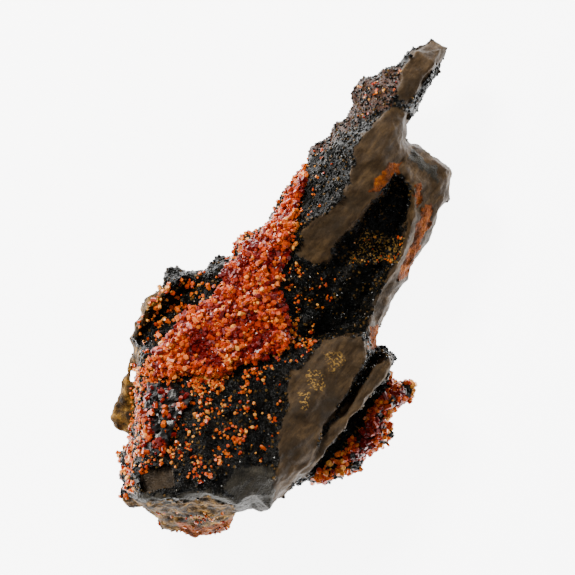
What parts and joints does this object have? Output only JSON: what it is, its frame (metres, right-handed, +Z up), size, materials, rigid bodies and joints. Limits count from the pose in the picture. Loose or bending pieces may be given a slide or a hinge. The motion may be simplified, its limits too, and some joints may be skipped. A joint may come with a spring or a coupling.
{
  "type": "vanadinite on matrix",
  "caption": "Jagged iron-oxide matrix with a spire, a broken wedge face and a slab edge, crusted with small orange-red hexagonal vanadinite crystals, lying on its back",
  "frame": {"origin": "bottom centre of the box, on the surface the specimen rests on", "axes": "+Y runs up the specimen to its spire, +X to the right of a viewer who looks down on its crystals, +Z up from the surface"},
  "size_m": [0.0553, 0.0803, 0.028],
  "materials": {
    "goethite": "black drusy and botryoidal iron oxide with brown fibrous broken faces",
    "vanadinite": "glossy orange-red hexagonal crystals"
  },
  "bodies": {
    "root": {"goethite_matrix": "goethite", "vanadinite_main_crust": "vanadinite", "vanadinite_druse_crust": "vanadinite", "vanadinite_ledge_crust": "vanadinite"}
  },
  "joints": []
}
